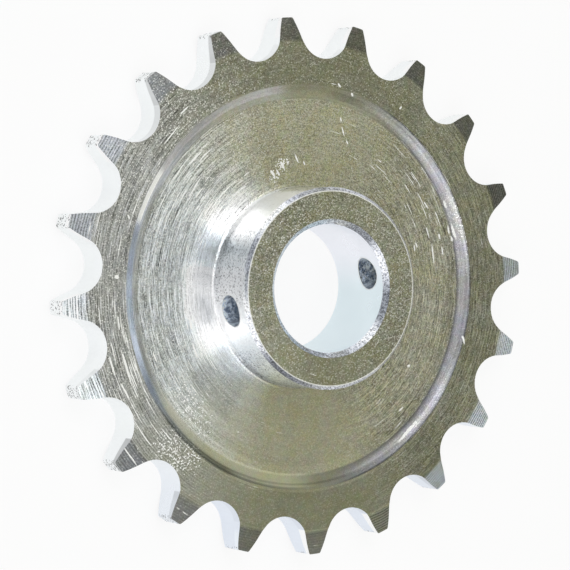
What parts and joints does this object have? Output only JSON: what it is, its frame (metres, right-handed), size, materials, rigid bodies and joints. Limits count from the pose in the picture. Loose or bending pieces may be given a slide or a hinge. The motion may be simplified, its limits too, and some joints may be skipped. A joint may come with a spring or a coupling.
{
  "type": "chain sprocket",
  "caption": "Toothed steel wheel for a roller chain, with a hub on one side, a shallow turned recess round the hub, a plain bore and a pin hole across the hub.",
  "frame": {"origin": "centre of the bore, in the plane of the flat back face that the sprocket rests on", "axes": "+Z along the bore towards the hub's face; +X along the pin hole, through the middle of a tooth gap; +Y completes a right-handed set"},
  "size_m": [0.084, 0.084, 0.014],
  "materials": {
    "plated_steel": "bright zinc plating over steel, with the fine concentric grooves of the lathe on its faces"
  },
  "bodies": {
    "root": {"sprocket": "plated_steel"}
  },
  "joints": []
}
